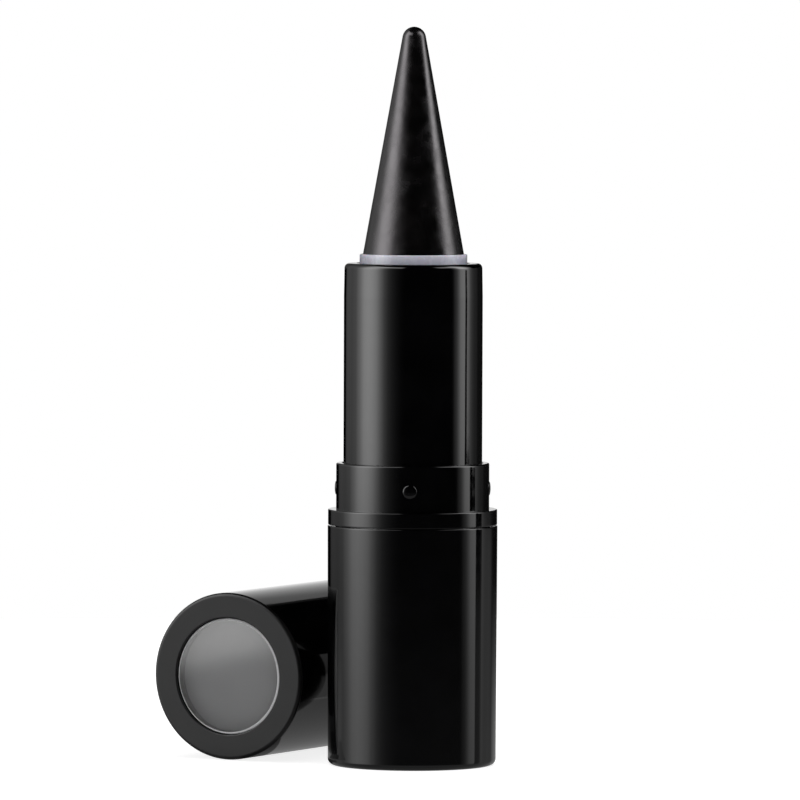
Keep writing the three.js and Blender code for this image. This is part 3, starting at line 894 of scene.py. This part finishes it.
flag_distance = 1.57
stand_top = -0.043
curtain("left_diffuser", -180, 0, stage_floor, stage_ceiling, 1.6, left_cloth)
curtain("right_diffuser", 0, 180, stage_floor, stage_ceiling, 1.6, right_cloth)
curtain("front_glow", -62, 80, stage_floor, stage_ceiling, 1.55, front_cloth)
curtain("low_right_glow", 105, 143, stage_floor, stage_ceiling, 1.54, low_right_cloth)
curtain("floor_right_glow", 132, 180, stage_floor, stage_ceiling, 1.53, floor_right_cloth)
curtain("low_left_glow", -130, -104, stage_floor, stage_ceiling, 1.53, low_left_cloth)
curtain("high_glow", -66, 84, stage_floor, stage_ceiling, 1.52, high_cloth)
curtain("dark_left", -180, -149, -0.09, 0.06, flag_distance, flag_black)
curtain("dark_upper", 118, 163, 0.3, stage_ceiling, flag_distance, flag_black)
curtain("dark_stand", 96, 109, stage_floor, stand_top, flag_distance, stand_grey)
curtain("dark_stand_top", 96.6, 101, stand_top, 0.066, flag_distance, flag_black)

# Cards
# Flat cards close the ring of curtains above and below, and smaller ones stand or lie by the object.
# The smaller ones are what the cap, the lens and the rims mirror: the white behind, the table and a lamp.


def card(name, corners, finish):
    """A flat card, seen only in reflections."""
    shape = bpy.data.meshes.new(name)
    shape.from_pydata(corners, [], [tuple(range(len(corners)))])
    shape.materials.append(finish)
    sheet = bpy.data.objects.new(name, shape)
    only_mirrored(sheet)
    bpy.context.scene.collection.objects.link(sheet)


def lying(x_low, x_high, y_low, y_high, height):
    """The corners of a card that lies flat."""
    return [(x_low, y_low, height), (x_high, y_low, height), (x_high, y_high, height), (x_low, y_high, height)]


def standing(middle, across, sides_and_heights):
    """The corners of an upright card, each given by its distance across from the middle and its height."""
    return [middle + across * side + Vector((0, 0, height)) for side, height in sides_and_heights]


def height_glow(name, low, high, low_level, high_level):
    """A glow that runs from one level to the other between two heights in metres."""
    finish = glow(name, 1.0)
    nodes = finish.node_tree.nodes
    where = nodes.new("ShaderNodeTexCoord")
    up = nodes.new("ShaderNodeSeparateXYZ")
    fade = nodes.new("ShaderNodeMapRange")
    fade.inputs["From Min"].default_value = low
    fade.inputs["From Max"].default_value = high
    fade.inputs["To Min"].default_value = low_level
    fade.inputs["To Max"].default_value = high_level
    wire(finish.node_tree, [
        (where, "Object", up, "Vector"),
        (up, "Z", fade, "Value"),
        (fade, "Result", nodes["Emission"], "Strength"),
    ])
    return finish


stage_reach = 1.7
whole_stage = (-stage_reach, stage_reach, -stage_reach, stage_reach)
card("dark_ceiling", lying(*whole_stage, stage_ceiling), flag_black)
card("dim_floor", lying(*whole_stage, stage_floor), glow("dim_floor", 0.3))
card("pale_card", lying(-0.04, -0.0138, -0.012, 0.05, 0.0001), glow("pale_card", 0.30))
# A dim card lies where the table is in the shadow between the cap and the base: a painted shadow, seen only in
# reflections.
card("shaded_floor", lying(-0.0200, -0.0140, -0.008, -0.0009, 0.0002), glow("shaded_floor", 0.09))

backdrop_distance = 0.3
backdrop_across = Vector((math.cos(camera_azimuth), math.sin(camera_azimuth), 0))
backdrop_middle = Vector((-math.sin(camera_azimuth), math.cos(camera_azimuth), 0)) * backdrop_distance
card("backdrop", standing(backdrop_middle, backdrop_across, [
    (-0.045, -0.020), (-0.0106, -0.020), (-0.0106, 0.046), (0.016, 0.096),
    (0.040, 0.128), (0.066, 0.152), (0.066, 0.173), (-0.045, 0.173),
]), height_glow("backdrop_white", 0.046, 0.145, 1.0, 0.32))
card("backdrop_right", standing(backdrop_middle, backdrop_across, [
    (0.005, 0.044), (0.015, 0.044), (0.015, 0.076), (0.005, 0.076),
]), glow("backdrop_right", 0.9))

soft_card = glow("soft_card", 1.85)
soft_nodes = soft_card.node_tree.nodes
soft_where = soft_nodes.new("ShaderNodeTexCoord")
soft_slant = soft_nodes.new("ShaderNodeVectorMath")
soft_slant.operation = "DOT_PRODUCT"
soft_slant.inputs[1].default_value = (-0.166, 0.0921, 1)
soft_share = soft_nodes.new("ShaderNodeMapRange")
soft_share.inputs["From Min"].default_value = -0.107
soft_share.inputs["From Max"].default_value = -0.087
soft_ramp = soft_nodes.new("ShaderNodeValToRGB")
soft_ramp.color_ramp.elements[0].color = (0.06, 0.06, 0.06, 1)
soft_ramp.color_ramp.elements[1].color = (0.9, 0.9, 0.9, 1)
for place, level in ((0.09, 0.10), (0.24, 0.27), (0.39, 0.54), (0.54, 0.67), (0.765, 0.80)):
    soft_ramp.color_ramp.elements.new(place).color = (level, level, level, 1)
wire(soft_card.node_tree, [
    (soft_where, "Object", soft_slant, 0),
    (soft_slant, "Value", soft_share, "Value"),
    (soft_share, "Result", soft_ramp, "Fac"),
    (soft_ramp, "Color", soft_nodes["Emission"], "Color"),
])
lens_across = Vector((0.8746, -0.485, 0))
far_left = Vector((-0.7783, -1.3708, 0))
near_left = Vector((-0.0498, -0.0971, 0))
card("bright_card", standing(far_left, lens_across, [
    (-0.021, -0.138), (0.021, -0.138), (0.021, -0.084), (-0.021, -0.084),
]), soft_card)
card("bright_card_screen", standing(near_left, lens_across, [
    (-0.0017, -0.012), (0.0017, -0.012), (0.0017, 0.0205), (-0.0017, 0.0205),
]), height_glow("screen_grey", -0.010, 0.021, 0.74, 1.22))

# Light
# The white all round is what the camera, reflections and glass see, and a softer white fills the shadows.
# A wide round lamp overhead, a little behind the object, gives the soft main light.

studio = bpy.context.scene.world or bpy.data.worlds.new("studio")
bpy.context.scene.world = studio
studio.use_nodes = True
studio_nodes = studio.node_tree.nodes
studio_nodes.clear()
studio_out = studio_nodes.new("ShaderNodeOutputWorld")
studio_white = studio_nodes.new("ShaderNodeBackground")
studio_white.inputs["Color"].default_value = (1, 1, 1, 1)
studio_fill = studio_nodes.new("ShaderNodeBackground")
studio_fill.inputs["Color"].default_value = (1, 1, 1, 1)
studio_fill.inputs["Strength"].default_value = 0.55
studio_path = studio_nodes.new("ShaderNodeLightPath")
studio_seen = studio_nodes.new("ShaderNodeMath")
studio_seen.operation = "MAXIMUM"
studio_shown = studio_nodes.new("ShaderNodeMath")
studio_shown.operation = "MAXIMUM"
studio_pick = studio_nodes.new("ShaderNodeMixShader")
wire(studio.node_tree, [
    (studio_path, "Is Camera Ray", studio_seen, 0),
    (studio_path, "Is Glossy Ray", studio_seen, 1),
    (studio_seen, "Value", studio_shown, 0),
    (studio_path, "Is Transmission Ray", studio_shown, 1),
    (studio_shown, "Value", studio_pick, "Fac"),
    (studio_fill, "Background", studio_pick, 1),
    (studio_white, "Background", studio_pick, 2),
    (studio_pick, "Shader", studio_out, "Surface"),
])

overhead = bpy.data.lights.new("overhead", "AREA")
overhead.shape = "DISK"
overhead.size = 0.9
overhead.energy = 3.5
overhead_lamp = bpy.data.objects.new("overhead", overhead)
overhead_lamp.location = (0.06, 0.13, 0.9)
overhead_lamp.visible_glossy = False
overhead_lamp.visible_camera = False
overhead_lamp.visible_transmission = False
bpy.context.scene.collection.objects.link(overhead_lamp)

# Camera
# A long lens a metre from the object, at the photograph's height and side.
# It looks down by about two and a half degrees and is rolled by a fifth of a degree.

camera_distance = 1.043
camera_height = 0.0908
camera_pitch = math.radians(2.5825)
camera_swing = math.radians(0.0853)
camera_roll = math.radians(0.2)
picture_width = 800
focal_pixels = 8713
long_lens = bpy.data.cameras.new("camera")
long_lens.sensor_width = 36
long_lens.lens = long_lens.sensor_width * focal_pixels / picture_width
long_lens.clip_start = 0.05
long_lens.clip_end = 20
camera = bpy.data.objects.new("camera", long_lens)
camera.matrix_world = (
    Matrix.Translation((
        camera_distance * math.sin(camera_azimuth),
        -camera_distance * math.cos(camera_azimuth),
        camera_height,
    ))
    @ Matrix.Rotation(camera_azimuth + camera_swing, 4, "Z")
    @ Matrix.Rotation(math.pi / 2 - camera_pitch, 4, "X")
    @ Matrix.Rotation(camera_roll, 4, "Z")
)
bpy.context.scene.collection.objects.link(camera)
bpy.context.scene.camera = camera
bpy.context.scene.view_settings.view_transform = "Standard"
